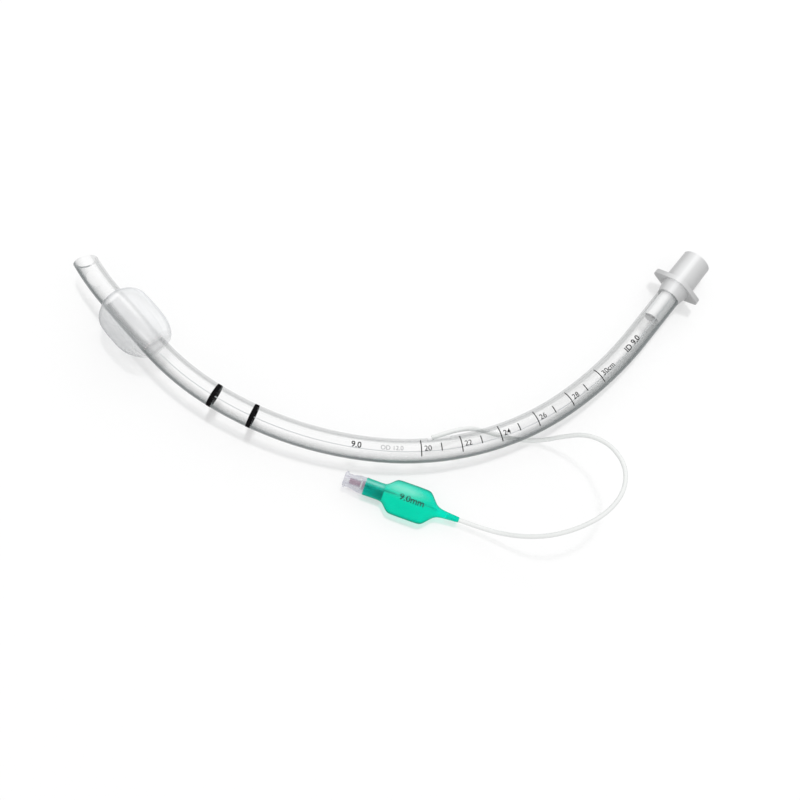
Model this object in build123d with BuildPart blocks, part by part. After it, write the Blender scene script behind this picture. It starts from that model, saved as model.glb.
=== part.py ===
"""Cuffed tracheal tube, 9.0 mm bore, lying on its side with its pilot balloon in front.

Millimetres, +Z up, +X along the tube's chord towards the 15 mm connector.
The tube lies in one slightly tilted plane: it rests on the cuff, on the connector's flange
and on the pilot balloon, and its middle rides just clear of the inflation line below it.
"""

import math
import os

from build123d import *

# Tube wall
outer_d = 12.0
bore_d = 9.0
channel_d = 0.9
channel_offset = (outer_d + bore_d) / 4

# Tube route from the patient tip to the connector: a bend is (length, radius)
tip_heading = -63.3
tip_bend = (28.9, 130.0)
cuff_run = 30.0
shaft_bends = [(36.0, 126.0), (88.0, 176.0), (100.0, 143.0), (52.0, 192.0)]
connector_run = 54.0

# Where the tip lies, and how far the tube's plane dips towards the balloon
tip_x = -156.4
tip_y = 52.1
dip_slope = 0.018

# Patient tip
bevel_angle = 48.0
eye_station = 13.5
eye_length = 9.5
eye_width = 7.0

# Inflation channel: port under the cuff, notch where the line comes out, seals in its ends
port_station = 43.9
port_length = 3.0
port_width = 1.2
notch_station = 213.4
notch_length = 12.0
notch_width = 2.5
notch_wall = 0.35
seal_length = 6.0
seal_d = 0.45
seal_setback = 1.0

# Cuff
cuff_station = 27.9
cuff_d = 27.4
cuff_film = 0.3
cuff_fit = 0.02
cuff_front = 13.0
cuff_crest = 7.0
cuff_back = 14.5
cuff_fold = 3.3
sleeve_length = 4.0
cuff_sleeve_r = outer_d / 2 + cuff_fit
cuff_neck_r = cuff_sleeve_r + cuff_film
cuff_fold_r = cuff_neck_r + cuff_fold

# Connector
shaft_length = 361.9
spigot_length = 15.0
spigot_bore_d = 7.6
spigot_fit = 0.02
spigot_lead = 2.0
spigot_chamfer = 0.3
seat_gap = 0.05
shoulder_length = 6.4
shoulder_step = 0.1
shoulder_d = 15.0
flange_thickness = 2.4
flange_d = 17.0
flange_sink = 0.5
ear_span = 26.5
ear_width = 5.0
cone_d = 15.5
cone_length = 16.7
cone_taper = 1 / 40
cone_bore_d = 11.6
cone_bore_depth = 16.0

# Inflation line
line_d = 2.2

# Pilot balloon: place of the valve's mouth on the floor plan, and its direction
mouth_x = -30.2
mouth_y = -61.5
balloon_heading = -21.4
neck_start = 10.7
neck_length = 9.9
neck_d = 8.7
front_length = 4.6
body_length = 16.8
body_width = 18.0
body_thickness = 9.4
back_length = 6.0
tail_d = 4.2
tail_end_d = 3.0
tail_length = 11.0
balloon_wall = 0.5

# Valve: female luer housing, plunger, washer, spring and the ring that holds the spring
mouth_d = 6.8
mouth_chamfer = 0.2
hub_length = 4.5
hub_taper_length = 3.0
hub_step = 0.1
hub_gap = 0.05
lug_sink = 0.3
lug_span = 7.8
lug_thickness = 1.0
lug_width = 3.0
lug_setback = 0.5
luer_d = 4.3
luer_taper = 0.06
luer_depth = 7.5
seat_thickness = 1.0
chamber_d = 5.6
valve_length = 20.4
valve_fit = 0.03
stem_d = 2.9
flute_d = 1.16
stem_front = 3.0
head_d = 4.9
head_length = 1.2
guide_d = 1.6
guide_length = 4.5
washer_thickness = 0.8
washer_d = 5.2
spring_wire_d = 0.35
spring_d = 3.4
spring_length = 5.4
spring_turns = 5
spring_gap = 0.05
retainer_length = 2.6
retainer_bore_d = 2.4


def route_length():
    bends = [tip_bend] + shaft_bends
    return sum(length for length, _ in bends) + cuff_run + connector_run


def draw_route():
    """Adds the tube's centre line to the open line context, from the patient tip."""
    start = math.radians(tip_heading)
    last = JernArc((0, 0), (math.cos(start), math.sin(start)), tip_bend[1], turn(tip_bend))
    last = Line(last @ 1, last @ 1 + (last % 1) * cuff_run)
    for bend in shaft_bends:
        last = JernArc(last @ 1, last % 1, bend[1], turn(bend))
    Line(last @ 1, last @ 1 + (last % 1) * connector_run)


def turn(bend):
    """Degrees turned along a bend, towards the concave side."""
    length, radius = bend
    return math.degrees(length / radius)


def rest_plane():
    """The plane of the tube's bend, dipping so that cuff and flange both touch the floor."""
    with BuildLine() as flat:
        draw_route()
    wire = flat.wire()
    crest_bulge = cuff_d / 2 - cuff_fold_r
    supports = [
        (cuff_station + cuff_front + cuff_crest, cuff_fold_r, crest_bulge, cuff_back),
        (shaft_length + shoulder_length, flange_d / 2, 0, 0),
    ]
    spots = []
    for at, core_r, bulge, reach in supports:
        point = wire.position_at(at, PositionMode.LENGTH)
        spots.append((point, wire.tangent_at(at, PositionMode.LENGTH), core_r, bulge, reach))
    slope, height = 0.0, 0.0
    for _ in range(6):
        lows = []
        for point, along, core_r, bulge, reach in spots:
            fall = slope * along.X + dip_slope * along.Y
            level = math.sqrt(1 - fall**2)
            half = core_r * level + math.hypot(bulge * level, reach * fall)
            lows.append(half - slope * point.X - dip_slope * point.Y)
        height = lows[0]
        run = spots[1][0].X - spots[0][0].X
        slope += (lows[1] - lows[0]) / run
    x_dir = Vector(math.sqrt(1 - slope**2), 0, slope)
    y_x = -dip_slope * slope / x_dir.X
    y_dir = Vector(y_x, math.sqrt(1 - y_x**2 - dip_slope**2), dip_slope)
    return Plane(origin=(tip_x, tip_y, height), x_dir=x_dir, z_dir=x_dir.cross(y_dir))


lie = rest_plane()
with BuildLine(lie) as route:
    draw_route()
route_wire = route.wire()


def station(at):
    """Plane across the tube: x towards the concave side, z towards the connector."""
    point = route_wire.position_at(at, PositionMode.LENGTH)
    along = route_wire.tangent_at(at, PositionMode.LENGTH)
    return Plane(origin=point, x_dir=lie.z_dir.cross(along), z_dir=along)


def skive(at, depth):
    """Plane on the concave side of the wall, sunk to a radius, facing outward."""
    across = station(at)
    point = across.origin + across.x_dir * depth
    return Plane(origin=point, x_dir=across.z_dir, z_dir=across.x_dir)


# Tube shaft: one extrusion with its bore and the small channel in the concave wall
shaft_route = route_wire.trim(0, shaft_length / route_length())
tip_plane = station(0)
with BuildPart() as tube_shaft:
    with BuildSketch(tip_plane):
        Circle(outer_d / 2)
        Circle(bore_d / 2, mode=Mode.SUBTRACT)
        with Locations((channel_offset, 0)):
            Circle(channel_d / 2, mode=Mode.SUBTRACT)
    sweep(path=shaft_route)

    # Bevel: opens upward, the far lip stays at the very tip
    lean = math.radians(bevel_angle)
    far_lip = tip_plane.origin - tip_plane.y_dir * (outer_d / 2)
    bevel_normal = tip_plane.y_dir * math.cos(lean) - tip_plane.z_dir * math.sin(lean)
    split(bisect_by=Plane(origin=far_lip, z_dir=bevel_normal), keep=Keep.BOTTOM)

    # Eye through the wall opposite the bevel
    eye = station(eye_station)
    with BuildSketch(Plane(origin=eye.origin, x_dir=eye.z_dir, z_dir=-eye.y_dir)):
        Ellipse(eye_length / 2, eye_width / 2)
    extrude(amount=outer_d, mode=Mode.SUBTRACT)

    # Port into the channel under the cuff, and the notch for the inflation line
    with BuildSketch(skive(port_station, channel_offset)):
        SlotOverall(port_length, port_width)
    extrude(amount=outer_d / 2, mode=Mode.SUBTRACT)
    with BuildSketch(skive(notch_station, bore_d / 2 + notch_wall)):
        SlotOverall(notch_length, notch_width)
    extrude(amount=outer_d / 2, mode=Mode.SUBTRACT)
tube_shaft.part.label = "tube_shaft"


# Seals that close the channel ahead of the cuff and behind the notch
seal_places = {
    "channel_seal_tip": station(cuff_station - seal_length - seal_setback),
    "channel_seal_notch": station(notch_station + notch_length / 2 + seal_setback),
}
channel_seals = {}
for seal_name, seal_plane in seal_places.items():
    start = seal_plane.origin + seal_plane.x_dir * channel_offset
    with BuildPart() as channel_seal:
        with BuildSketch(Plane(origin=start, x_dir=seal_plane.x_dir, z_dir=seal_plane.z_dir)):
            Circle(seal_d / 2)
        extrude(amount=seal_length)
    channel_seal.part.label = seal_name
    channel_seals[seal_name] = channel_seal


# Cuff: blown film with rounded shoulders, both ends turned in and bonded to the tube
cuff_axis = station(cuff_station)
fold_z = cuff_front + cuff_crest + cuff_back - cuff_fold


def cuff_outline(inset):
    """Half section of the inflated cuff, x as radius and y along the tube."""
    sleeve_r, neck_r, fold_r = cuff_sleeve_r, cuff_neck_r, cuff_fold_r
    bulge = cuff_d / 2 - neck_r - inset
    front = cuff_front - inset
    back = cuff_back - inset
    crest_end = cuff_front + cuff_crest
    EllipticalCenterArc((neck_r, cuff_front), bulge, front, start_angle=270)
    Line((neck_r + bulge, cuff_front), (neck_r + bulge, crest_end))
    EllipticalCenterArc((fold_r, crest_end), neck_r + bulge - fold_r, back, start_angle=0)
    fold = cuff_fold - inset
    EllipticalCenterArc((fold_r, fold_z), fold, fold, start_angle=90)
    Polyline(
        (fold_r - fold, fold_z),
        (fold_r - fold, fold_z - sleeve_length),
        (sleeve_r, fold_z - sleeve_length),
        (sleeve_r, inset),
        (neck_r, inset),
    )


with BuildPart() as cuff:
    radial = Plane(origin=cuff_axis.origin, x_dir=cuff_axis.x_dir, z_dir=-cuff_axis.y_dir)
    with BuildSketch(radial):
        with BuildLine():
            cuff_outline(0)
        make_face()
    revolve(axis=Axis(cuff_axis.origin, cuff_axis.z_dir))
    with BuildSketch(radial):
        with BuildLine():
            cuff_outline(cuff_film)
        make_face()
    revolve(axis=Axis(cuff_axis.origin, cuff_axis.z_dir), mode=Mode.SUBTRACT)
cuff.part.label = "cuff"


# Connector: spigot in the tube, shoulder, eared flange and the tapered 15 mm end
seat = station(shaft_length)
underside = Plane(origin=seat.origin + seat.z_dir * shoulder_length, x_dir=seat.x_dir,
                  z_dir=seat.z_dir)
with BuildPart() as connector:
    with BuildSketch(Plane(origin=seat.origin, x_dir=seat.x_dir, z_dir=-seat.y_dir)):
        spigot_r = bore_d / 2 - spigot_fit
        flange_top = shoulder_length + flange_thickness
        cone_end = flange_top + cone_length
        end_r = cone_d / 2 - cone_length * cone_taper / 2
        bore_floor = cone_end - cone_bore_depth
        with BuildLine():
            Polyline(
                (spigot_bore_d / 2, -spigot_length),
                (spigot_r - spigot_chamfer, -spigot_length),
                (spigot_r, spigot_lead - spigot_length),
                (spigot_r, seat_gap),
                (outer_d / 2 + shoulder_step, seat_gap),
                (shoulder_d / 2, shoulder_length),
                (cone_d / 2, flange_top),
                (end_r, cone_end),
                (cone_bore_d / 2, cone_end),
                (cone_bore_d / 2, bore_floor),
                (spigot_bore_d / 2, bore_floor - shoulder_length),
                close=True,
            )
        make_face()
    revolve(axis=Axis(seat.origin, seat.z_dir))
    with BuildSketch(underside) as flange_outline:
        Circle(flange_d / 2)
        with Locations((ear_span / 2 - ear_width / 2, 0), (ear_width / 2 - ear_span / 2, 0)):
            Circle(ear_width / 2)
        make_hull()
        Circle(cone_d / 2 - flange_sink, mode=Mode.SUBTRACT)
    extrude(amount=flange_thickness)
connector.part.label = "connector"


# Inflation line: leaves the notch along the tube, dives under it, arches up over the floor
# to the right and comes back to the balloon's tail
line_points = [
    (13.1, -42.9, 9.8),
    (21.9, -39.8, 9.8),
    (32.0, -37.1, 7.2),
    (40.5, -37.2, 2.0),
    (49.5, -39.7, 1.2),
    (59.2, -41.8, 1.2),
    (68.5, -42.8, 3.6),
    (77.2, -43.3, 11.5),
    (87.3, -45.2, 21.0),
    (97.6, -52.7, 27.0),
    (103.3, -64.7, 30.0),
    (101.3, -77.2, 31.0),
    (92.8, -87.2, 30.5),
    (80.8, -93.4, 27.5),
    (67.8, -96.0, 22.0),
    (55.8, -94.7, 14.5),
    (43.4, -90.6, 7.0),
    (31.2, -85.6, 4.7),
    (19.1, -80.9, 4.7),
]


def corner_radii(points):
    """0.45 of the shorter run at each corner, over the tangent of half the turn there."""
    spots = [Vector(*point) for point in points]
    radii = []
    for before, corner, after in zip(spots, spots[1:], spots[2:]):
        run_in = corner - before
        run_out = after - corner
        half_turn = math.radians(run_in.get_angle(run_out)) / 2
        radii.append(0.45 * min(run_in.length, run_out.length) / math.tan(half_turn))
    return radii


line_radii = corner_radii(line_points)
print("inflation line radii", [round(radius, 1) for radius in line_radii])
with BuildPart() as inflation_line:
    with BuildLine() as line_route:
        FilletPolyline(*line_points, radius=line_radii)
    with BuildSketch(Plane(origin=line_route.line @ 0, z_dir=line_route.line % 0)):
        Circle(line_d / 2)
    sweep()
inflation_line.part.label = "inflation_line"
line_volume = math.pi * line_d**2 / 4 * line_route.wire().length
print("inflation line length", round(line_route.wire().length, 1))
print("volume against section", round(inflation_line.part.volume / line_volume, 4))


# Pilot balloon: tubular neck, flat pillow and tapered tail, in one blown piece
heading = math.radians(balloon_heading)
mouth = Plane(
    origin=(mouth_x, mouth_y, body_thickness / 2),
    x_dir=(-math.sin(heading), math.cos(heading), 0),
    z_dir=(math.cos(heading), math.sin(heading), 0),
)
neck_end = neck_start + neck_length
body_start = neck_end + front_length
body_end = body_start + body_length
tail_start = body_end + back_length
tail_end = tail_start + tail_length
balloon_sections = [
    (neck_start, neck_d, neck_d),
    (neck_end, neck_d, neck_d),
    (body_start, body_width, body_thickness),
    (body_end, body_width, body_thickness),
    (tail_start, tail_d, tail_d),
    (tail_end, tail_end_d, tail_end_d),
]
with BuildPart() as pilot_balloon:
    for at, wide, thick in balloon_sections:
        with BuildSketch(mouth.offset(at)):
            Ellipse(wide / 2, thick / 2)
    loft(ruled=True)
    for at, wide, thick in balloon_sections[1:5]:
        with BuildSketch(mouth.offset(at)):
            Ellipse(wide / 2 - balloon_wall, thick / 2 - balloon_wall)
    loft(ruled=True, mode=Mode.SUBTRACT)
    with BuildSketch(mouth.offset(neck_start)):
        Circle(neck_d / 2 - balloon_wall)
    extrude(amount=neck_length, mode=Mode.SUBTRACT)
    with BuildSketch(mouth.offset(tail_start)):
        Circle(line_d / 2 + valve_fit)
    extrude(amount=tail_length, mode=Mode.SUBTRACT)
pilot_balloon.part.label = "pilot_balloon"


# Valve housing: female luer with two lugs, its rear half held in the balloon's neck
plug_d = neck_d - 2 * balloon_wall - 2 * valve_fit
seat_at = luer_depth + seat_thickness
with BuildPart() as valve_housing:
    with BuildSketch(Plane(origin=mouth.origin, x_dir=mouth.x_dir, z_dir=-mouth.y_dir)):
        throat_r = luer_d / 2 - luer_depth * luer_taper / 2
        hub_r = neck_d / 2 - hub_step
        with BuildLine():
            Polyline(
                (luer_d / 2, 0),
                (mouth_d / 2 - mouth_chamfer, 0),
                (mouth_d / 2, mouth_chamfer),
                (mouth_d / 2, hub_length),
                (hub_r, hub_length + hub_taper_length),
                (hub_r, neck_start - hub_gap),
                (plug_d / 2, neck_start - hub_gap),
                (plug_d / 2, valve_length),
                (chamber_d / 2, valve_length),
                (chamber_d / 2, seat_at),
                (throat_r, seat_at),
                (throat_r, luer_depth),
                close=True,
            )
        make_face()
    revolve(axis=Axis(mouth.origin, mouth.z_dir))
    with BuildSketch(mouth.offset(lug_setback)):
        Rectangle(lug_span, lug_width)
        Circle(mouth_d / 2 - lug_sink, mode=Mode.SUBTRACT)
    extrude(amount=lug_thickness)
valve_housing.part.label = "valve_housing"


# Plunger: fluted stem that a syringe tip pushes, a head behind the seat, a guide in the spring
washer_at = seat_at + valve_fit
head_at = washer_at + washer_thickness + valve_fit
head_back = head_at + head_length
with BuildPart() as valve_plunger:
    with BuildSketch(mouth.offset(stem_front)):
        Circle(stem_d / 2)
        with PolarLocations(stem_d / 2, 4, start_angle=45):
            Circle(flute_d / 2, mode=Mode.SUBTRACT)
    extrude(amount=head_at - stem_front)
    with BuildSketch(mouth.offset(head_at)):
        Circle(head_d / 2)
    extrude(amount=head_length)
    with BuildSketch(mouth.offset(head_back)):
        Circle(guide_d / 2)
    extrude(amount=guide_length)
valve_plunger.part.label = "valve_plunger"


with BuildPart() as valve_washer:
    with BuildSketch(mouth.offset(washer_at)):
        Circle(washer_d / 2)
        Circle(stem_d / 2 + valve_fit, mode=Mode.SUBTRACT)
    extrude(amount=washer_thickness)
valve_washer.part.label = "valve_washer"


# Spring between the plunger's head and the retainer
spring_at = head_back + spring_gap
coil = mouth.offset(spring_at + spring_wire_d / 2)
coil_height = spring_length - spring_wire_d
coil_r = (spring_d - spring_wire_d) / 2
with BuildPart() as valve_spring:
    with BuildLine() as coil_line:
        Helix(
            pitch=coil_height / spring_turns,
            height=coil_height,
            radius=coil_r,
            center=coil.origin,
            direction=coil.z_dir,
        )
    with BuildSketch(Plane(origin=coil_line.line @ 0, z_dir=coil_line.line % 0)):
        Circle(spring_wire_d / 2)
    sweep(is_frenet=True)
valve_spring.part.label = "valve_spring"


# Retainer: a ring pressed into the back of the chamber, open so that air passes
retainer_at = spring_at + spring_length + spring_gap
with BuildPart() as valve_retainer:
    with BuildSketch(mouth.offset(retainer_at)):
        Circle(chamber_d / 2 - valve_fit)
        Circle(retainer_bore_d / 2, mode=Mode.SUBTRACT)
    extrude(amount=retainer_length)
valve_retainer.part.label = "valve_retainer"


pieces = [
    tube_shaft,
    cuff,
    connector,
    inflation_line,
    pilot_balloon,
    valve_housing,
    valve_plunger,
    valve_washer,
    valve_spring,
    valve_retainer,
    *channel_seals.values(),
]
os.makedirs("parts", exist_ok=True)
for piece in pieces:
    export_step(piece.part, f"parts/{piece.part.label}.step")

for piece in (tube_shaft, cuff, connector, pilot_balloon):
    box = piece.part.bounding_box()
    print(piece.part.label, "box", box.min, box.max)
print("retainer back", round(retainer_at + retainer_length, 2), "tail end", tail_end)
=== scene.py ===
import math

import bpy
from mathutils import Matrix, Vector


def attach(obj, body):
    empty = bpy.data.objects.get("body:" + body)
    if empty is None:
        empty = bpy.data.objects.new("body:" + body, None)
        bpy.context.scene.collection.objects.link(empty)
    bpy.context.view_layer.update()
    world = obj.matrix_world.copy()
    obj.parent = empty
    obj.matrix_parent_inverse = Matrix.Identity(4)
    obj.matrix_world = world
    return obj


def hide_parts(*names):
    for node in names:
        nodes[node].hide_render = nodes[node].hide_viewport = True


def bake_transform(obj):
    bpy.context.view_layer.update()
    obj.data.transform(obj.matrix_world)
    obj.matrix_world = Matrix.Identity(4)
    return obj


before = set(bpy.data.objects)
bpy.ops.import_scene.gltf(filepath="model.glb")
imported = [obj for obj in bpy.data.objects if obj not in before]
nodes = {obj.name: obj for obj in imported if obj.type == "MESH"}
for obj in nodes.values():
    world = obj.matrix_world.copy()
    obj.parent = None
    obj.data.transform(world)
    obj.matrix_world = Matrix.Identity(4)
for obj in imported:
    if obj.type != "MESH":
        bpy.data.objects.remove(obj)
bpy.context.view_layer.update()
scene = bpy.context.scene
scene.view_settings.view_transform = "Standard"


# Camera: a long lens looking down on the tube from in front, rolled a little as in the
# photograph, so that the cuffed end lies left and the connector right.
looks_at = Vector((-0.00055, -0.02002, 0.0))
stands_off = Vector((-0.11736, -0.32151, 0.94036))
across = Vector((0.99308287, -0.04342434, 0.10909051))
upward = Vector((0.00575631, 0.94598617, 0.32415589))
camera = bpy.data.objects.new("camera", bpy.data.cameras.new("camera"))
scene.collection.objects.link(camera)
camera.data.lens = 91.24
camera.data.sensor_width = 36.0
camera.data.clip_start = 0.05
camera.data.clip_end = 30.0
turned = Matrix((across, upward, across.cross(upward))).transposed().to_4x4()
camera.matrix_world = Matrix.Translation(looks_at + stands_off) @ turned
scene.camera = camera


# Inflation line: soft extruded vinyl, 2.2 mm across, let into the tube's notch at one end
# and bonded into the pilot balloon's tail at the other. It dives under the tube, rises to
# the right and comes back in one loose bow.
class Socket:
    """A node socket that takes part in sums, so that shader maths reads as an expression."""

    def __init__(self, tree, link):
        self.tree, self.link = tree, link

    def node(self, kind, values=(), out=0, **settings):
        made = self.tree.nodes.new(kind)
        for name, value in settings.items():
            if name == "stops":
                ramp = made.color_ramp
                while len(ramp.elements) < len(value):
                    ramp.elements.new(0.5)
                for element, (place, shade) in zip(ramp.elements, value):
                    element.position, element.color = place, shade
            else:
                setattr(made, name, value)
        for name, value in dict(values).items():
            if isinstance(value, Socket):
                self.tree.links.new(value.link, made.inputs[name])
            else:
                made.inputs[name].default_value = value
        return Socket(self.tree, made.outputs[out])

    def maths(self, operation, *others, clamp=False):
        terms = dict(enumerate((self, *others)))
        return self.node("ShaderNodeMath", terms, operation=operation, use_clamp=clamp)

    def __add__(self, other):
        return self.maths("ADD", other)

    __radd__ = __add__

    def __mul__(self, other):
        return self.maths("MULTIPLY", other)

    __rmul__ = __mul__

    def __sub__(self, other):
        return self.maths("SUBTRACT", other)

    def __rsub__(self, other):
        return self.node("ShaderNodeMath", {0: other, 1: self}, operation="SUBTRACT")

    def __pow__(self, other):
        return self.maths("POWER", other)

    def clamped(self):
        return self.maths("ADD", 0.0, clamp=True)

    def between(self, low, high):
        """0 at low, 1 at high, smooth between."""
        return self.node("ShaderNodeMapRange", {0: self, 1: low, 2: high},
                         interpolation_type="SMOOTHSTEP")

    def blend(self, first, second):
        """A colour from first to second as this goes from 0 to 1."""
        return self.node("ShaderNodeMix", {0: self, 6: first, 7: second}, out=2,
                         data_type="RGBA")

    def mix(self, first, second):
        """A shader from first to second as this goes from 0 to 1."""
        return self.node("ShaderNodeMixShader", {0: self, 1: first, 2: second})

    def noise(self, scale, detail=2.0):
        """A cloudy pattern over this place, finer as the scale grows."""
        return self.node("ShaderNodeTexNoise",
                         {"Vector": self, "Scale": scale, "Detail": detail})

    def facing(self):
        """0 where the surface faces the eye, 1 where it is seen edge on."""
        return self.node("ShaderNodeLayerWeight", {"Blend": 0.5}, out=1)

    def stored(self, name):
        """A number that each vertex of the piece holds under this name."""
        return self.node("ShaderNodeAttribute", attribute_name=name, out=2)


def finish(name, **fixed):
    """A new material with its shader, and the object-space place to build patterns from."""
    made = bpy.data.materials.new(name)
    made.use_nodes = True
    tree = made.node_tree
    shader = tree.nodes["Principled BSDF"]
    for socket, value in fixed.items():
        shader.inputs[socket.replace("_", " ")].default_value = value
    place = Socket(tree, tree.nodes.new("ShaderNodeTexCoord").outputs["Object"])
    return made, shader, place


def feed(shader, name, value):
    value.tree.links.new(value.link, shader.inputs[name])


line_vinyl, shader, place = finish("line vinyl", IOR=1.5)
# The vinyl's colour is painted darker where it is seen edge on, a painted shade for its round
# sides; the cloud adds a random tone.
line_face_on = (0.86, 0.87, 0.86, 1)
line_edge_shade = (0.58, 0.60, 0.59, 1)
cloud = place.noise(160.0, 3.0)
tone = (place.facing() * 0.9 + cloud * 0.2).clamped()
feed(shader, "Base Color", tone.blend(line_face_on, line_edge_shade))
feed(shader, "Roughness", 0.22 + cloud * 0.1)

line_points = [
    (0.0131, -0.0429, 0.0098),
    (0.0219, -0.0398, 0.0098),
    (0.0320, -0.0371, 0.0072),
    (0.0405, -0.0372, 0.002),
    (0.0495, -0.0397, 0.0012),
    (0.0592, -0.0418, 0.0012),
    (0.0685, -0.0428, 0.0036),
    (0.0772, -0.0433, 0.0115),
    (0.0873, -0.0452, 0.021),
    (0.0976, -0.0527, 0.027),
    (0.1033, -0.0647, 0.03),
    (0.1013, -0.0772, 0.031),
    (0.0928, -0.0872, 0.0305),
    (0.0808, -0.0934, 0.0275),
    (0.0678, -0.0960, 0.022),
    (0.0558, -0.0947, 0.0145),
    (0.0434, -0.0906, 0.007),
    (0.0312, -0.0856, 0.0047),
    (0.0191, -0.0809, 0.0047),
]
line_curve = bpy.data.curves.new("inflation_line_cord", "CURVE")
line_curve.dimensions = "3D"
line_curve.bevel_depth = 0.0011
line_curve.bevel_resolution = 5
line_curve.resolution_u = 16
line_curve.render_resolution_u = 16
line_curve.use_fill_caps = True
spline = line_curve.splines.new("NURBS")
spline.points.add(len(line_points) - 1)
for point, spot in zip(spline.points, line_points):
    point.co = (*spot, 1)
spline.order_u = 3
spline.use_endpoint_u = True
line_cord = bpy.data.objects.new("inflation_line_cord", line_curve)
scene.collection.objects.link(line_cord)
line_curve.materials.append(line_vinyl)
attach(line_cord, "tube")
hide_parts("inflation_line")


# Floor and light: a white, slightly glossy table under one wide soft lamp, with even white
# light from all round. The table stays white to the camera and keeps a faint reflection.
white = (1, 1, 1, 1)
table_height = -0.0002
table_gloss, table_glow = 0.52, 0.5


def plain(shader):
    """The principled shader's own surface, to be mixed with another."""
    return Socket(shader.id_data, shader.outputs[0])


def show(surface):
    """Makes this shader the material's surface."""
    output = surface.tree.nodes["Material Output"]
    surface.tree.links.new(surface.link, output.inputs["Surface"])


bpy.ops.mesh.primitive_plane_add(size=8, location=(0, 0, table_height))
table = bpy.context.object
table.name = "table"
table_top, shader, place = finish("table top", Roughness=0.6, IOR=1.05)
haze = place.noise(3.0)
feed(shader, "Base Color", haze.blend((0.93, 0.93, 0.93, 1), (0.94, 0.94, 0.94, 1)))
seen = place.node("ShaderNodeLightPath")
in_gloss = Socket(seen.tree, seen.link.node.outputs["Is Glossy Ray"])
in_glass = Socket(seen.tree, seen.link.node.outputs["Is Transmission Ray"])
polish = place.node("ShaderNodeBsdfGlossy", {"Color": white, "Roughness": 0.14})
top_coat = place.node("ShaderNodeMixShader", {0: table_gloss, 1: plain(shader), 2: polish})
glow = place.node("ShaderNodeEmission", {"Color": white, "Strength": 1.0})
show(((seen + in_gloss + in_glass).clamped() * table_glow).mix(top_coat, glow))
table.data.materials.append(table_top)

world = bpy.data.worlds.new("studio")
world.use_nodes = True
scene.world = world
sky = world.node_tree.nodes["Background"]
sky.inputs["Color"].default_value = white
sky.inputs["Strength"].default_value = 1.0
softbox = bpy.data.lights.new("softbox", "AREA")
softbox.shape = "RECTANGLE"
softbox.size, softbox.size_y = 1.6, 0.8
softbox.energy = 6.0
softbox_stand = bpy.data.objects.new("softbox", softbox)
scene.collection.objects.link(softbox_stand)
softbox_stand.location = (0.7, 1.1, 1.0)
softbox_stand.rotation_mode = "QUATERNION"
softbox_stand.rotation_quaternion = softbox_stand.location.to_track_quat("Z", "Y")


# Tube shaft: clear vinyl extruded with its wall channel, bent warm and cut at the bevel.
# Its wall is painted grey as shade where it is seen edge on, darker along the outside of the
# bend. Each run below is its length and the radius it is bent to, 0 where it is straight.
tube_runs = [
    (0.0289, 0.130), (0.030, 0.0), (0.036, 0.126), (0.088, 0.176), (0.100, 0.143),
    (0.052, 0.192), (0.054, 0.0),
]
tip_heading = math.radians(-63.3)
tube_start = Vector((-0.1564, 0.0521, 0.014992))
tube_ahead = Vector((0.999783, 0.0, -0.020821))
tube_aside = Vector((0.000375, 0.999838, 0.018))
tube_above = tube_ahead.cross(tube_aside)
quarter_turn = math.pi / 2


def on_tube(station, turn, radius):
    """A place at a distance from the tip, turned from the tube's top to its concave side."""
    heading, x, y = tip_heading, 0.0, 0.0
    for run, bend in tube_runs:
        step = min(station, run)
        if bend:
            after = heading + step / bend
            x += bend * (math.sin(after) - math.sin(heading))
            y += bend * (math.cos(heading) - math.cos(after))
            heading = after
        else:
            x += step * math.cos(heading)
            y += step * math.sin(heading)
        station -= step
        if station <= 0:
            break
    inward = tube_aside * math.cos(heading) - tube_ahead * math.sin(heading)
    out = inward * math.sin(turn) + tube_above * math.cos(turn)
    return tube_start + tube_ahead * x + tube_aside * y + out * radius


def vertex_store(piece, name):
    """Room for one number on each vertex of the piece."""
    return piece.data.attributes.new(name, "FLOAT", "POINT").data


def mark_round(piece):
    """Stores on each vertex how far it lies towards the concave side of the tube's bend."""
    stops = []
    for count in range(194):
        middle = on_tube(0.002 * count, 0, 0)
        stops.append((middle, on_tube(0.002 * count, quarter_turn, 1) - middle))
    for vertex, cell in zip(piece.data.vertices, vertex_store(piece, "concave")):
        middle, inward = min(stops, key=lambda stop: (stop[0] - vertex.co).length_squared)
        away = vertex.co - middle
        cell.value = away.dot(inward) / max(away.length, 1e-6)


def shades(value, stops, tint=(1, 1, 1)):
    """A colour that follows the stops, each a place and a shade, as value goes 0 to 1."""
    colours = [(at, (*(shade * part for part in tint), 1)) for at, shade in stops]
    return value.node("ShaderNodeValToRGB", {0: value}, stops=colours)


def glossed(body, sheen, roughness):
    """A reflection laid over the outward faces of a see-through body."""
    gloss = body.node("ShaderNodeBsdfGlossy", {"Color": white, "Roughness": roughness})
    outward = 1.0 - body.node("ShaderNodeNewGeometry", out=6)
    return (sheen * outward).mix(body, gloss)


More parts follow.
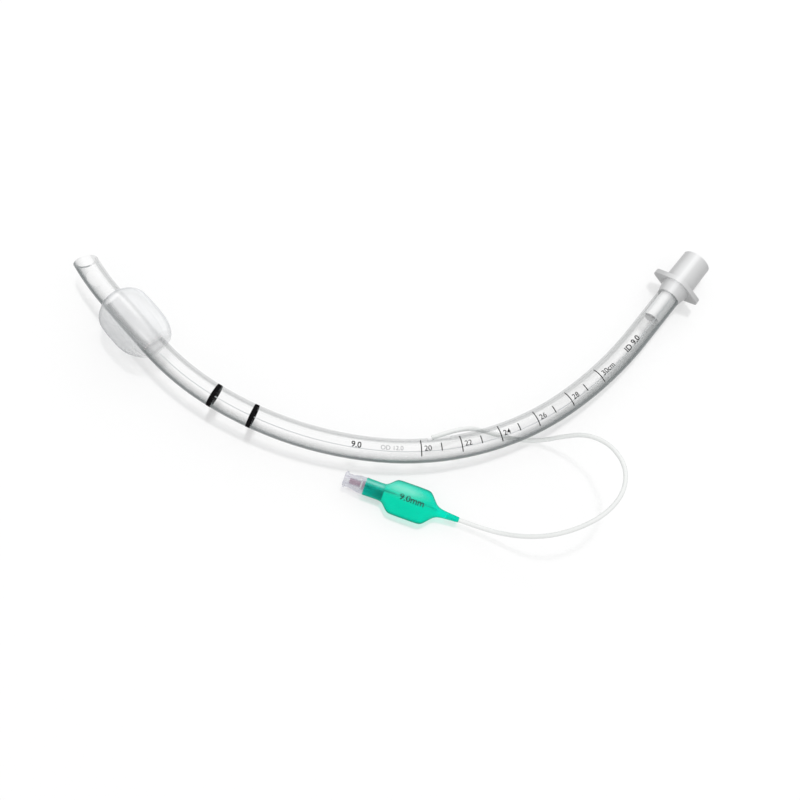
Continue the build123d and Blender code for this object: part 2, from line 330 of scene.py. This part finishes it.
def clear_wall(name, strength):
    """Clear vinyl: see-through face on, painted grey as shade where it is seen edge on,
    glossy all over.
    """
    made, shader, place = finish(name, Roughness=0.3, IOR=1.2)
    cloud = place.noise(90.0)
    # The dark grey-teal is the painted shade colour, laid over the clear wall where it is
    # seen edge on.
    feed(shader, "Base Color", cloud.blend((0.13, 0.15, 0.152, 1), (0.17, 0.19, 0.192, 1)))
    facing = place.facing()
    # The painted shade is darker along the outside of the bend, and towards the connector end
    # a broader painted grey spreads in from that edge.
    concave = place.stored("concave").between(-0.25, 0.15)
    outside = shades(facing, [(0.02, 0.0), (0.08, 0.06), (0.17, 0.16), (0.24, 0.19),
                              (0.317, 0.33), (0.4, 0.62), (0.54, 0.84), (1.0, 0.6)])
    inside = shades(facing, [(0.1, 0.0), (0.2, 0.03), (0.27, 0.2), (0.7, 0.2), (1.0, 0.26)])
    to_connector = place.node("ShaderNodeSeparateXYZ", {0: place}).between(0.02, 0.09)
    connector_end_shade = facing.between(0.03, 0.2) * (0.55 - facing).clamped() * 0.36
    shaded = outside + to_connector * connector_end_shade
    wall = (shaded * (1.0 - concave) + inside * concave) * strength
    clear = place.node("ShaderNodeBsdfTransparent", {"Color": white})
    body = wall.mix(clear, plain(shader))
    show(glossed(body, (0.02 + facing ** 5 * 0.5) * strength, 0.08))
    return made


def coat(piece, *finishes):
    """Takes off a piece's plain material and gives it these."""
    piece.data.materials.clear()
    for made in finishes:
        piece.data.materials.append(made)


clear_vinyl = clear_wall("clear vinyl", 1.0)
bore_face = clear_wall("bore face", 0.12)
shaft = nodes["tube_shaft"]
mark_round(shaft)
coat(shaft, clear_vinyl, bore_face)
middles = [on_tube(0.001 * count, 0, 0) for count in range(365)]
for face in shaft.data.polygons:
    middle = min(middles, key=lambda spot: (spot - face.center).length_squared)
    if (middle - face.center).dot(face.normal) > 0:
        face.material_index = 1
for seal in ("channel_seal_tip", "channel_seal_notch"):
    mark_round(nodes[seal])
    coat(nodes[seal], bore_face)


# Depth scale: black ink printed round the tube. Two rings show how deep the cuff sits, and
# a mark stands at each centimetre from 20 to 30. Two thin lines show where the cuff's ends
# are bonded.
ink_radius, ring_radius = 0.00604, 0.00605
ink_thickness, ring_thickness = 0.00002, 0.00003
capital_share = 0.7
ink, shader, place = finish("black ink", Roughness=0.5, Specular_IOR_Level=0.0)
wear = place.noise(900.0)
feed(shader, "Base Color", wear.blend((0.004, 0.004, 0.005, 1), (0.012, 0.011, 0.011, 1)))
faded_ink, shader, place = finish("faded ink", Roughness=0.4)
wear = place.noise(1500.0, 3.0)
feed(shader, "Base Color", wear.blend((0.12, 0.12, 0.13, 1), (0.45, 0.45, 0.46, 1)))
back_bond, shader, place = finish("bond line", Roughness=0.4)
speckle = place.noise(1400.0)
feed(shader, "Base Color", speckle.blend((0.80, 0.66, 0.67, 1), (0.95, 0.88, 0.88, 1)))
feed(shader, "Alpha", speckle.between(0.42, 0.6))
front_bond, shader, place = finish("front bond", Roughness=0.4)
speckle = place.noise(700.0)
feed(shader, "Base Color", speckle.blend((0.30, 0.31, 0.32, 1), (0.46, 0.47, 0.48, 1)))
feed(shader, "Alpha", 0.35 + speckle * 0.5)


def thicken(piece, thickness):
    """Gives the flat piece just made its thickness."""
    bpy.ops.object.modifier_add(type="SOLIDIFY")
    piece.modifiers["Solidify"].thickness = thickness
    bpy.ops.object.modifier_apply(modifier="Solidify")


def wrap(piece, station, turn, radius, made):
    """Lays a flat mesh round the tube, x along it and y towards the concave side."""
    for vertex in piece.data.vertices:
        along, round_by = station + vertex.co.x, turn + vertex.co.y / radius
        vertex.co = on_tube(along, round_by, radius + vertex.co.z)
    coat(piece, made)
    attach(piece, "tube")


def flat_strip(name, length, width, cuts_along, cuts_across, thickness):
    """A flat strip with its length along x."""
    bpy.ops.object.select_all(action="DESELECT")
    bpy.ops.mesh.primitive_grid_add(x_subdivisions=cuts_along, y_subdivisions=cuts_across,
                                    size=1, location=(0, 0, 0))
    strip = bpy.context.object
    strip.name = name
    for vertex in strip.data.vertices:
        vertex.co.x *= length
        vertex.co.y *= width
    thicken(strip, thickness)
    return strip


def printed_bar(name, station, turn, length, width, made=ink):
    """A printed bar, length along the tube and width round it."""
    cuts_across = max(2, int(width / 0.0006))
    bar = flat_strip(name, length, width, 2, cuts_across, ink_thickness)
    wrap(bar, station, turn, ink_radius, made)


def lettering(name, words, size, heavy, side):
    """Flat characters as a mesh, reading along x."""
    bpy.ops.object.select_all(action="DESELECT")
    bpy.ops.object.text_add(location=(0, 0, 0))
    label = bpy.context.object
    label.name = name
    label.data.body = words
    label.data.size = size
    label.data.offset = heavy
    label.data.align_x = side
    label.data.align_y = "CENTER"
    bpy.ops.object.convert(target="MESH")
    return label


def printed_words(name, words, station, turn, height, heavy=0.0, made=ink):
    """Printed characters that read from the cuff towards the connector."""
    label = lettering(name, words, height / capital_share, heavy, "LEFT")
    bpy.ops.object.mode_set(mode="EDIT")
    bpy.ops.mesh.select_all(action="SELECT")
    bpy.ops.mesh.subdivide(number_cuts=3)
    bpy.ops.object.mode_set(mode="OBJECT")
    thicken(label, ink_thickness)
    wrap(label, station, turn, ink_radius, made)


for count, station in enumerate((0.0985, 0.1195)):
    bpy.ops.object.select_all(action="DESELECT")
    bpy.ops.mesh.primitive_cylinder_add(vertices=72, radius=ring_radius, depth=0.0022,
                                        end_fill_type="NOTHING", location=(0, 0, 0))
    ring = bpy.context.object
    ring.name = f"depth_ring_{count}"
    for vertex in ring.data.vertices:
        turn = math.atan2(vertex.co.x, vertex.co.y)
        vertex.co = on_tube(station + vertex.co.z, turn, ring_radius)
    thicken(ring, ring_thickness)
    ring.data.materials.append(ink)
    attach(ring, "tube")

printed_bar("bond_line", 0.0592, 0.1, 0.0004, 0.0150, back_bond)
printed_bar("front_bond", 0.0284, 0.05, 0.0004, 0.0170, front_bond)
tip_to_zero = 0.0029
long_mark, short_mark, mark_width = 0.0088, 0.0040, 0.0005
for centimetre in range(20, 31):
    station = 0.01 * centimetre + tip_to_zero
    even = centimetre % 2 == 0
    printed_bar(f"mark_{centimetre}", station, 0.0 if even else -0.05, mark_width,
                long_mark if even else short_mark)
    if even:
        words = "30cm" if centimetre == 30 else str(centimetre)
        printed_words(f"number_{centimetre}", words, station + 0.0014, -0.10, 0.0026, 0.00002)
printed_words("size_near_scale", "ID 9.0", 0.3218, -0.10, 0.0029, 0.00006)
printed_words("size_near_cuff", "9.0", 0.1688, -0.08, 0.0029, 0.00006)
printed_words("outer_size", "OD 12.0", 0.1830, -0.06, 0.0022, 0.0, faded_ink)


# Radiopaque line: a thin strip of filled vinyl run into the wall, so that the tube shows on
# an X-ray. It lies beside the marks and runs nearly the whole length of the tube.
stripe_vinyl, shader, place = finish("radiopaque line", Roughness=0.4)
cloud = place.noise(500.0)
feed(shader, "Base Color", cloud.blend((0.72, 0.75, 0.76, 1), (0.86, 0.88, 0.89, 1)))
stripe_length, stripe_width, stripe_thickness = 0.293, 0.0004, 0.0002
stripe = flat_strip("radiopaque_line", stripe_length, stripe_width, 150, 2, stripe_thickness)
wrap(stripe, 0.2125, -0.33, 0.0052, stripe_vinyl)


# Cuff: thin milky film blown into a short barrel, both ends bonded to the tube, the back
# one turned in. Soft pleats run along it from bond to bond. Each ring below is its place
# along the cuff and its half width both ways.
milky, shader, place = finish("cuff film", Roughness=0.22, IOR=1.45)
streaks = place.stored("pleat")
cloud = place.noise(120.0, 3.0)
side = place.stored("concave")
# Most of the film, round towards the concave side of the bend, is painted pale as painted
# light; on the convex side it is painted grey as painted shade and made more opaque.
lit_side = side.between(-0.50, -0.30)
shaded = side.between(-0.46, -0.58)
sleeve = place.stored("sleeve")
grey = cloud.blend((0.60, 0.61, 0.62, 1), (0.66, 0.67, 0.68, 1))
pale = streaks.blend((0.90, 0.91, 0.92, 1), white)
# Where the film is seen edge on, outside the turned-in sleeve, it is painted grey as painted
# shade.
rim = place.facing().between(0.45, 0.8)
rim_shade_tone = (rim * (1.0 - sleeve)).blend(white, (0.66, 0.67, 0.68, 1))
tone = lit_side.blend(grey, pale)
tone = tone.node("ShaderNodeMix", {0: 1.0, 6: tone, 7: rim_shade_tone}, out=2, data_type="RGBA",
                 blend_type="MULTIPLY")
feed(shader, "Base Color", tone)
veil = 0.16 + shaded * 0.22 + lit_side * 0.36 + rim * 0.25 + streaks * 0.3
veil = (veil * (1.0 - sleeve * 0.92)).clamped()
clear = place.node("ShaderNodeBsdfTransparent", {"Color": white})
show(veil.mix(clear, plain(shader)))

cuff_rings = [(place_along, radius, radius) for place_along, radius in (
    (0.0000, 0.00602), (0.0000, 0.00634), (0.0009, 0.0073), (0.0018, 0.0090),
    (0.0034, 0.0112), (0.0058, 0.0128), (0.0085, 0.0135), (0.0130, 0.01370),
    (0.0175, 0.0137), (0.0215, 0.01365), (0.0255, 0.0134), (0.0288, 0.0127),
    (0.0314, 0.0115), (0.0332, 0.0103), (0.0342, 0.0092), (0.0343, 0.0083),
    (0.0338, 0.0073), (0.0330, 0.0066), (0.0324, 0.00634),
)]
pleats = [(1.0, 7, 0.6, 60), (0.6, 13, 1.9, -90), (0.4, 23, 0.0, 40)]


def blown_film(name, sides, rings):
    """A skin drawn ring by ring along z, each ring its place and its two half widths."""
    bpy.ops.object.select_all(action="DESELECT")
    bpy.ops.mesh.primitive_circle_add(vertices=sides, radius=1.0, location=(0, 0, 0))
    film = bpy.context.object
    film.name = name
    place_along, wide, deep = rings[0]
    bpy.ops.object.mode_set(mode="EDIT")
    bpy.ops.mesh.select_all(action="SELECT")
    bpy.ops.transform.resize(value=(wide, deep, 1), center_override=(0, 0, 0))
    bpy.ops.transform.translate(value=(0, 0, place_along))
    for before, after in zip(rings, rings[1:]):
        bpy.ops.mesh.extrude_region_move(
            TRANSFORM_OT_translate={"value": (0, 0, after[0] - before[0])})
        bpy.ops.transform.resize(value=(after[1] / before[1], after[2] / before[2], 1),
                                 center_override=(0, 0, after[0]))
    bpy.ops.mesh.select_all(action="SELECT")
    bpy.ops.mesh.normals_make_consistent(inside=False)
    bpy.ops.object.mode_set(mode="OBJECT")
    return film


def smooth_out(piece):
    """Rounds the mesh just shaped, once, and shades it smooth."""
    bpy.ops.object.modifier_add(type="SUBSURF")
    piece.modifiers["Subdivision"].levels = 1
    piece.modifiers["Subdivision"].render_levels = 1
    bpy.ops.object.modifier_apply(modifier="Subdivision")
    bpy.ops.object.shade_smooth()


def rise(value, low, span):
    """0 up to low, 1 from a span beyond it on."""
    return max(0.0, min(1.0, (value - low) / span))


cuff_place = on_tube(0.0279, 0, 0)
cuff_along = (on_tube(0.030, 0, 0) - on_tube(0.0285, 0, 0)).normalized()
cuff_inward = on_tube(0.029, quarter_turn, 1) - on_tube(0.029, 0, 0)
cuff_up = on_tube(0.029, 0, 1) - on_tube(0.029, 0, 0)
cuff_middle = 0.0165
film_cuff = blown_film("cuff_film", 96, cuff_rings)
cells = zip(vertex_store(film_cuff, "pleat"), vertex_store(film_cuff, "concave"),
            vertex_store(film_cuff, "sleeve"))
for vertex, (cell, towards, inner) in zip(film_cuff.data.vertices, cells):
    x, y, z = vertex.co
    turn = math.atan2(x, y)
    radius = math.hypot(x, y)
    inner.value = (z > 0.028) * (1.0 - rise(radius, 0.0088, 0.0030))
    swell = rise(radius, 0.0070, 0.004)
    folds = sum(depth * math.sin(count * turn + start + twist * z)
                for depth, count, start, twist in pleats)
    ends = 0.35 + 0.65 * abs(z - cuff_middle) / cuff_middle
    radius -= (0.00016 + 0.00010 * folds) * swell * ends
    cell.value = max(0.0, folds / 2.0) ** 2 * swell
    towards.value = math.sin(turn)
    pulled_forward = 0.14 * max(0.0, -math.sin(turn)) * swell * max(0.0, z - 0.014) / 0.02
    z *= 1 - pulled_forward
    out = cuff_inward * math.sin(turn) + cuff_up * math.cos(turn)
    vertex.co = cuff_place + cuff_along * z + out * radius
smooth_out(film_cuff)
film_cuff.data.materials.append(milky)
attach(film_cuff, "tube")
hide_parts("cuff")


# Connector: one moulding in frosted plastic, a spigot pushed into the tube, two ears for the
# tie and the tapered 15 mm end that the breathing circuit fits over.
connector = nodes["connector"]
spigot_face, shader, place = finish("wetted spigot", Roughness=0.3, IOR=1.1)
cloud = place.noise(130.0, 3.0)
feed(shader, "Base Color", cloud.blend((0.90, 0.905, 0.91, 1), (0.96, 0.96, 0.96, 1)))
frosted, shader, place = finish("frosted plastic", IOR=1.3)
cloud = place.noise(130.0, 4.0)
# Its colour is painted round the tube's axis: a light streak a little to the concave side is
# a painted highlight, and the grey towards both edges is painted shade.
side = place.stored("concave") * 0.5 + 0.5
streak_and_shade_stops = [(0.0, 0.40), (0.12, 0.45), (0.28, 0.54), (0.42, 0.62), (0.52, 0.78),
               (0.60, 0.82), (0.68, 0.72), (0.80, 0.62), (0.92, 0.47), (1.0, 0.44)]
tone = shades(side, streak_and_shade_stops, (1, 1.005, 1.01))
feed(shader, "Base Color", (cloud * 0.10).blend(tone, (0.9, 0.9, 0.9, 1)))
feed(shader, "Roughness", 0.28 + cloud * 0.14)
grain = place.noise(1800.0)
bumps = grain.node("ShaderNodeBump", {"Height": grain, "Strength": 0.06, "Distance": 0.0002})
feed(shader, "Normal", bumps)
mark_round(connector)
coat(connector, frosted, spigot_face)
tube_length, spigot_mouth = 0.3618, 0.0085
tube_end = on_tube(tube_length, 0, 0)
tube_out = (tube_end - on_tube(0.3600, 0, 0)).normalized()
for face in connector.data.polygons:
    past_end = (face.center - tube_end).dot(tube_out)
    off_axis = face.center - tube_end - tube_out * past_end
    in_bore = face.normal.dot(off_axis) < -0.001
    if past_end < 0 or (past_end < spigot_mouth and in_bore):
        face.material_index = 1


# Pilot balloon: two green films welded round their edge into a flat hexagonal pillow, with
# a tubular neck over the valve and a drawn-out tail on the line. Each ring below is its
# place from the valve's mouth, its half width and its half height.
green, shader, place = finish("green film", IOR=1.45, Roughness=0.15)
cloud = place.noise(110.0)
lit_patch = place.stored("lit_patch")
plain_green = cloud.blend((0.0, 0.58, 0.40, 1), (0.01, 0.66, 0.46, 1))
feed(shader, "Base Color", lit_patch.blend(plain_green, (0.50, 1.0, 0.88, 1)))
facing = place.facing()
weld = place.stored("weld")
# Along the crease the film passes a darker green, a painted shade; it is also darker where it
# is seen edge on and along the weld.
crease = place.stored("crease")
tint = (facing ** 2 * 0.9 + weld * 0.9 + crease * 0.45).clamped()
passed = tint.blend((0.04, 0.94, 0.80, 1), (0.0, 0.42, 0.36, 1))
clear = place.node("ShaderNodeBsdfTransparent", {"Color": passed})
density = (0.12 + facing * 0.15 + lit_patch * 0.40).clamped()
show(glossed(density.mix(clear, plain(shader)), 0.03 + facing ** 5 * 0.4, 0.12))

balloon_rings = [
    (0.0107, 0.00435, 0.00435), (0.0112, 0.00435, 0.00435), (0.0155, 0.00432, 0.00432),
    (0.0192, 0.00430, 0.00428), (0.0206, 0.0045, 0.00435), (0.0219, 0.0056, 0.0044),
    (0.0236, 0.0075, 0.0045), (0.0250, 0.0087, 0.0046), (0.0264, 0.00895, 0.0047),
    (0.0300, 0.0090, 0.0047), (0.0340, 0.0090, 0.0047), (0.0380, 0.0090, 0.0047),
    (0.0408, 0.00893, 0.0046), (0.0422, 0.0086, 0.0045), (0.0438, 0.0070, 0.0041),
    (0.0455, 0.0048, 0.0033), (0.0470, 0.0032, 0.0027), (0.0486, 0.00235, 0.0022),
    (0.0510, 0.0019, 0.0019), (0.0550, 0.0016, 0.0016), (0.0586, 0.0014, 0.0014),
    (0.0590, 0.0012, 0.0012),
]
neck_end, body_end, crease_width = 0.0195, 0.0470, 0.0006
valve_mouth = Vector((-0.0302, -0.0615, 0.0047))
balloon_heading = math.radians(-21.4)
balloon_ahead = Vector((math.cos(balloon_heading), math.sin(balloon_heading), 0))
balloon_aside = Vector((-balloon_ahead.y, balloon_ahead.x, 0))
pillow = blown_film("pilot_balloon_film", 128, balloon_rings)
cells = zip(vertex_store(pillow, "weld"), vertex_store(pillow, "crease"),
            vertex_store(pillow, "lit_patch"))
for vertex, (cell, fold, patch) in zip(pillow.data.vertices, cells):
    x, y, z = vertex.co
    if y > 0:
        fold_line = math.exp(-(x / crease_width) ** 2) * (2.2 if z < 0.026 else 1.0)
        fold.value = fold_line * (neck_end < z < body_end)
        glint_along = abs((z - 0.0295) / 0.0100) ** 3
        glint_aside = ((x + 0.0040) / 0.0036) ** 2
        neck_glint = 0.8 * (z < neck_end) * math.exp(-((x + 0.0016) / 0.0012) ** 2)
        patch.value = max(0.75 * math.exp(-glint_along - glint_aside), neck_glint)
    flat = rise(math.hypot(x, y), 0.0045, 0.0035)
    edge = abs(x) / max(math.hypot(x, y), 1e-9)
    cell.value = flat * max(0.0, (edge - 0.97) / 0.03)
    if flat > 0:
        y *= 1 - 0.25 * flat * edge ** 3
    if 0.0200 < z < 0.0450 and abs(x) < crease_width and y > 0:
        y -= 0.00025
    vertex.co = valve_mouth + balloon_ahead * z - balloon_aside * x + Vector((0, 0, y))
smooth_out(pillow)
pillow.data.materials.append(green)
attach(pillow, "tube")
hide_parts("pilot_balloon")

label_place, label_lift, film_hollow = 0.0345, 0.00478, 0.6 / 0.0047
size_label = lettering("balloon_size", "9.0mm", 0.0046, 0.00008, "CENTER")
thicken(size_label, ink_thickness)
for vertex in size_label.data.vertices:
    x, y, z = vertex.co
    spot = valve_mouth + balloon_ahead * (label_place + x) + balloon_aside * (y - 0.0002)
    vertex.co = spot + Vector((0, 0, label_lift - film_hollow * y ** 2 + z))
dark_green, shader, place = finish("green ink", Roughness=0.3)
wear = place.noise(900.0)
feed(shader, "Base Color", wear.blend((0.0, 0.05, 0.035, 1), (0.0, 0.10, 0.07, 1)))
size_label.data.materials.append(dark_green)
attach(size_label, "tube")


# Valve: a clear housing with a luer mouth, and in it a pink plunger on a white washer, a
# steel spring and a clear ring that holds the spring.
housing_clear, shader, place = finish("clear hard plastic", IOR=1.5, Roughness=0.08)
cloud = place.noise(300.0)
# Inside the balloon's neck, one side of the housing is painted dark green as a painted shade
# and made more opaque there.
in_neck = place.stored("in_neck")
pale = cloud.blend((0.60, 0.60, 0.68, 1), (0.74, 0.74, 0.82, 1))
feed(shader, "Base Color", in_neck.blend(pale, (0.01, 0.10, 0.09, 1)))
feed(shader, "Alpha", (0.16 + place.facing() * 0.7 + in_neck * 0.7).clamped())
housing = nodes["valve_housing"]
coat(housing, housing_clear)
neck_begins, dark_side = 0.0112, -0.0005
# The painted shade is stored past the neck's start, on one side of the housing only.
for vertex, cell in zip(housing.data.vertices, vertex_store(housing, "in_neck")):
    away = vertex.co - valve_mouth
    along, aside = away.dot(balloon_ahead), away.dot(balloon_aside)
    cell.value = (along > neck_begins) * (aside < dark_side) * 0.9
for node, dark, light, metal in (
    ("valve_plunger", (0.36, 0.16, 0.24), (0.46, 0.24, 0.32), 0.0),
    ("valve_washer", (0.80, 0.80, 0.78), (0.88, 0.88, 0.86), 0.0),
    ("valve_spring", (0.55, 0.55, 0.57), (0.68, 0.68, 0.70), 1.0),
    ("valve_retainer", (0.70, 0.72, 0.73), (0.80, 0.82, 0.83), 0.0),
):
    made, shader, place = finish(node.replace("_", " "), Roughness=0.25, Metallic=metal)
    cloud = place.noise(400.0)
    feed(shader, "Base Color", cloud.blend((*dark, 1), (*light, 1)))
    coat(nodes[node], made)


# Valve spring: a steel coil held between the plunger's head and the fixed ring. It is
# the CAD coil's own shape.
coil_mesh = nodes["valve_spring"].data.copy()
coil = bpy.data.objects.new("spring_coil", coil_mesh)
scene.collection.objects.link(coil)
bpy.ops.object.select_all(action="DESELECT")
coil.select_set(True)
bpy.context.view_layer.objects.active = coil
bpy.ops.object.mode_set(mode="EDIT")
bpy.ops.mesh.select_all(action="SELECT")
bpy.ops.mesh.remove_doubles(threshold=0.000002)
bpy.ops.object.mode_set(mode="OBJECT")
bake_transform(coil)
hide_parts("valve_spring")
